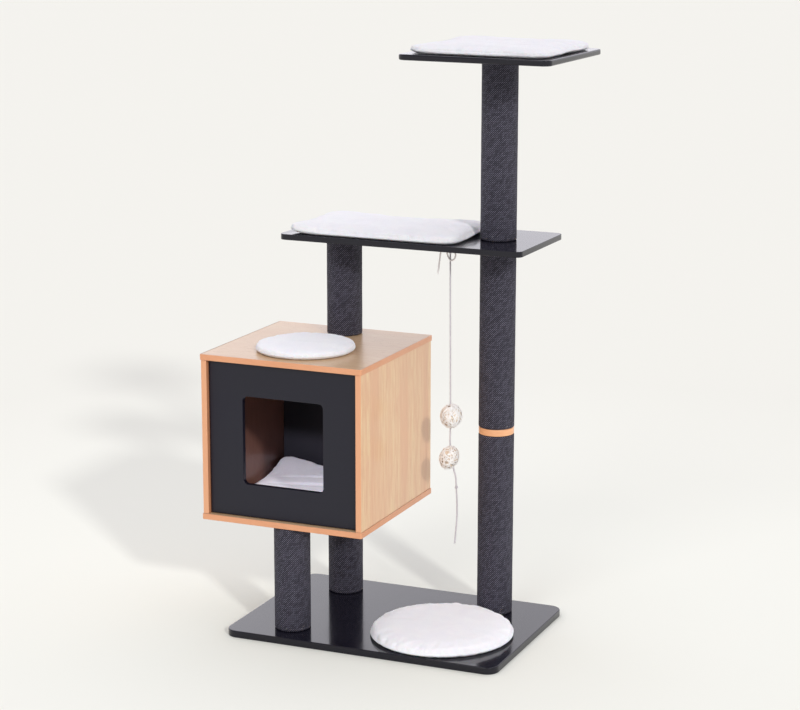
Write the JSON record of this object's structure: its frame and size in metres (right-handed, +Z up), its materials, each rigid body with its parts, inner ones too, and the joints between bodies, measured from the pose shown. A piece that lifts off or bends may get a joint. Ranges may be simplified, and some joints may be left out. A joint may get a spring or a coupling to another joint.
{
  "type": "cat tree",
  "caption": "Free-standing cat tree: black base and shelves on wrapped posts, a wood cube house with a doorway, white plush pads and a hanging ball toy.",
  "frame": {"origin": "middle of the base board's underside, on the floor", "axes": "+Z up, +X right along the base's front edge, -Y towards the front, where the house's doorway looks"},
  "size_m": [0.696, 0.4915, 1.2173],
  "materials": {
    "black_gloss": "gloss black paint on board",
    "black_satin": "satin black paint on board",
    "beech": "beech-look laminate, semi-gloss",
    "edge_strip": "wood-coloured edge strip",
    "disc_wood": "stained wood",
    "woven_black": "coarse woven wrap",
    "paper_tube": "wound paper tube",
    "plug_wood": "turned wood",
    "steel": "zinc plated",
    "plush": "short white plush",
    "toy_cord": "twisted off-white cord",
    "wicker": "bleached wicker"
  },
  "bodies": {
    "stand": {"base_board": "black_gloss", "base_bolt_front": "steel", "base_bolt_rear": "steel", "base_bolt_main": "steel", "front_post_wrap": "woven_black", "front_post_tube": "paper_tube", "front_post_plug_lower": "plug_wood", "front_post_plug_upper": "plug_wood", "rear_post_wrap": "woven_black", "rear_post_tube": "paper_tube", "rear_post_plug_lower": "plug_wood", "rear_post_plug_upper": "plug_wood", "upper_rear_post_wrap": "woven_black", "upper_rear_post_tube": "paper_tube", "upper_rear_post_plug_lower": "plug_wood", "upper_rear_post_plug_upper": "plug_wood", "main_post_lower_wrap": "woven_black", "main_post_lower_tube": "paper_tube", "main_post_lower_plug_lower": "plug_wood", "main_post_lower_plug_upper": "plug_wood", "main_post_middle_wrap": "woven_black", "main_post_middle_tube": "paper_tube", "main_post_middle_plug_lower": "plug_wood", "main_post_middle_plug_upper": "plug_wood", "main_post_upper_wrap": "woven_black", "main_post_upper_tube": "paper_tube", "main_post_upper_plug_lower": "plug_wood", "main_post_upper_plug_upper": "plug_wood", "spacer_disc": "disc_wood", "spacer_stud": "steel", "middle_shelf": "black_gloss", "top_shelf": "black_gloss", "shelf_stud": "steel", "shelf_bolt": "steel", "top_shelf_bolt": "steel", "house_floor": "beech", "house_floor_edging": "edge_strip", "house_roof": "beech", "house_roof_edging": "edge_strip", "floor_bolt_front": "steel", "floor_bolt_rear": "steel", "roof_bolt": "steel", "house_left_side": "beech", "house_right_side": "beech", "house_back": "black_satin", "house_front": "black_satin", "screw_eye": "steel"},
    "base_mat": {"base_mat": "plush"},
    "roof_pad": {"roof_pad": "plush"},
    "house_pad": {"house_pad": "plush"},
    "middle_pad": {"middle_pad": "plush"},
    "top_pad": {"top_pad": "plush"},
    "toy_tie": {"toy_knot": "toy_cord", "toy_bow": "toy_cord"},
    "toy_upper": {"toy_cord_upper": "toy_cord", "toy_ball_upper": "wicker"},
    "toy_lower": {"toy_cord_lower": "toy_cord", "toy_ball_lower": "wicker", "toy_tail_knot": "toy_cord"}
  },
  "joints": [
    {"name": "base_mat_lift", "type": "slide", "parent": "stand", "child": "base_mat", "axis": [0, 0, 1], "range_m": [0, 0.1]},
    {"name": "roof_pad_lift", "type": "slide", "parent": "stand", "child": "roof_pad", "axis": [0, 0, 1], "range_m": [0, 0.15]},
    {"name": "house_pad_lift", "type": "slide", "parent": "stand", "child": "house_pad", "axis": [0, 0, 1], "range_m": [0, 0.1]},
    {"name": "middle_pad_lift", "type": "slide", "parent": "stand", "child": "middle_pad", "axis": [0, 0, 1], "range_m": [0, 0.15]},
    {"name": "top_pad_lift", "type": "slide", "parent": "stand", "child": "top_pad", "axis": [0, 0, 1], "range_m": [0, 0.15]},
    {"name": "toy_sway_front_back", "type": "hinge", "parent": "stand", "child": "toy_tie", "pos_m": [0.0825, 0.085, 0.794], "axis": [1, 0, 0], "range_deg": [-35, 35]},
    {"name": "toy_sway_side", "type": "hinge", "parent": "toy_tie", "child": "toy_upper", "pos_m": [0.0825, 0.085, 0.7845], "axis": [0, 1, 0], "range_deg": [-5, 6]},
    {"name": "toy_lower_swing", "type": "hinge", "parent": "toy_upper", "child": "toy_lower", "pos_m": [0.085, 0.085, 0.417], "axis": [1, 0, 0], "range_deg": [-25, 25]}
  ]
}
